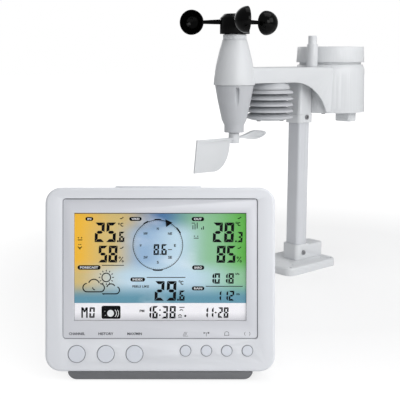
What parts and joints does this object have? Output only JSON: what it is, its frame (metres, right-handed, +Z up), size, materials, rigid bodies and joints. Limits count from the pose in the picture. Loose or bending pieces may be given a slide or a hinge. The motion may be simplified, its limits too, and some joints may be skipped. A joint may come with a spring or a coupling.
{
  "type": "weather station",
  "caption": "Home weather station: a pole-mounted outdoor sensor with wind cups, wind vane, radiation shield and rain gauge, and an indoor colour display console on a table stand.",
  "frame": {"origin": "centre of the underside of the foot plate", "axes": "+Z up, +X along the arm towards the rain gauge, -X towards the wind instruments, -Y towards the side on which the console stands"},
  "size_m": [0.6545, 0.3589, 0.3915],
  "materials": {
    "housing_white": "fine satin moulding",
    "pole_white": "satin tube",
    "steel": "turned",
    "brass": "turned",
    "rotor_black": "glossy",
    "bucket_black": "moulded",
    "board_green": "solder mask",
    "cell_jacket": "printed jacket",
    "console_white": "satin moulding",
    "panel_silver": "silver paint",
    "window_glass": "clear",
    "lcd_face": "colour display",
    "black_parts": "moulded",
    "rubber": "matte"
  },
  "bodies": {
    "sensor": {"foot_plate": "housing_white", "mast_block": "housing_white", "mast_pole": "pole_white", "mast_bolts": "steel", "mast_nuts": "steel", "pole_collar": "housing_white", "arm_shell": "housing_white", "arm_cover": "housing_white", "main_board": "board_green", "antenna": "housing_white", "lower_cone": "housing_white", "cone_screws": "steel", "wind_board": "board_green", "wind_neck": "housing_white", "wind_bushes": "brass", "shield_top": "housing_white", "shield_louvres": "housing_white", "shield_base": "housing_white", "shield_studs": "steel", "climate_probe": "board_green", "gauge_body": "housing_white", "gauge_floor": "housing_white", "floor_screw_set": "steel", "drain_spout": "housing_white", "sensor_cells": "cell_jacket"},
    "rotor": {"cup_rotor": "rotor_black", "rotor_shaft": "steel", "rotor_magnet": "steel", "rotor_cap": "rotor_black"},
    "vane": {"wind_vane": "housing_white", "vane_shaft": "steel", "vane_magnet": "steel"},
    "collector": {"rain_collector": "housing_white"},
    "bucket": {"tipping_bucket": "bucket_black", "bucket_axle": "steel"},
    "gauge_door": {"sensor_battery_door": "housing_white"},
    "stand": {"table_stand": "console_white", "stand_pads": "rubber"},
    "console": {"console_front": "console_white", "console_back": "console_white", "display_panel": "panel_silver", "screen_window": "window_glass", "lcd_module": "lcd_face", "console_board": "board_green", "tact_switches": "black_parts", "console_cells": "cell_jacket", "console_screws": "steel", "buzzer": "black_parts", "power_jack": "black_parts"},
    "console_door": {"console_battery_door": "console_white"},
    "snooze": {"snooze_bar": "console_white"},
    "large_button_1": {"large_key_1": "console_white"},
    "large_button_2": {"large_key_2": "console_white"},
    "large_button_3": {"large_key_3": "console_white"},
    "small_button_1": {"small_key_1": "console_white"},
    "small_button_2": {"small_key_2": "console_white"},
    "small_button_3": {"small_key_3": "console_white"},
    "small_button_4": {"small_key_4": "console_white"}
  },
  "joints": [
    {"name": "cup_spin", "type": "hinge", "parent": "sensor", "child": "rotor", "pos_m": [-0.133, 0, 0.374], "axis": [0, 0, 1], "continuous": true},
    {"name": "vane_spin", "type": "hinge", "parent": "sensor", "child": "vane", "pos_m": [-0.133, 0, 0.212], "axis": [0, 0, 1], "continuous": true},
    {"name": "bucket_tip", "type": "hinge", "parent": "sensor", "child": "bucket", "pos_m": [0.0755, 0, 0.275], "axis": [0, -1, 0], "range_deg": [0, 24]},
    {"name": "collector_lift", "type": "slide", "parent": "sensor", "child": "collector", "axis": [0, 0, 1], "range_m": [0, 0.05]},
    {"name": "gauge_door_lift", "type": "slide", "parent": "sensor", "child": "gauge_door", "axis": [0, 0, -1], "range_m": [0, 0.02]},
    {"name": "console_place", "type": "slide", "parent": "sensor", "child": "stand", "axis": [-0.6587, -0.7524, 0], "range_m": [0, 0.12]},
    {"name": "console_lift", "type": "slide", "parent": "stand", "child": "console", "axis": [0.12, 0.1371, 0.9833], "range_m": [0, 0.03]},
    {"name": "console_door_lift", "type": "slide", "parent": "console", "child": "console_door", "axis": [0.6477, 0.7398, -0.1822], "range_m": [0, 0.02]},
    {"name": "snooze_press", "type": "slide", "parent": "console", "child": "snooze", "axis": [-0.12, -0.1371, -0.9833], "range_m": [0, 0.001], "stiffness_N_per_m": 600, "springref_m": -0.0005},
    {"name": "large_press_1", "type": "slide", "parent": "console", "child": "large_button_1", "axis": [0.6477, 0.7398, -0.1822], "range_m": [0, 0.0012], "stiffness_N_per_m": 400, "springref_m": -0.0005},
    {"name": "large_press_2", "type": "slide", "parent": "console", "child": "large_button_2", "axis": [0.6477, 0.7398, -0.1822], "range_m": [0, 0.0012], "stiffness_N_per_m": 400, "springref_m": -0.0005},
    {"name": "large_press_3", "type": "slide", "parent": "console", "child": "large_button_3", "axis": [0.6477, 0.7398, -0.1822], "range_m": [0, 0.0012], "stiffness_N_per_m": 400, "springref_m": -0.0005},
    {"name": "small_press_1", "type": "slide", "parent": "console", "child": "small_button_1", "axis": [0.6477, 0.7398, -0.1822], "range_m": [0, 0.0012], "stiffness_N_per_m": 400, "springref_m": -0.0005},
    {"name": "small_press_2", "type": "slide", "parent": "console", "child": "small_button_2", "axis": [0.6477, 0.7398, -0.1822], "range_m": [0, 0.0012], "stiffness_N_per_m": 400, "springref_m": -0.0005},
    {"name": "small_press_3", "type": "slide", "parent": "console", "child": "small_button_3", "axis": [0.6477, 0.7398, -0.1822], "range_m": [0, 0.0012], "stiffness_N_per_m": 400, "springref_m": -0.0005},
    {"name": "small_press_4", "type": "slide", "parent": "console", "child": "small_button_4", "axis": [0.6477, 0.7398, -0.1822], "range_m": [0, 0.0012], "stiffness_N_per_m": 400, "springref_m": -0.0005}
  ]
}
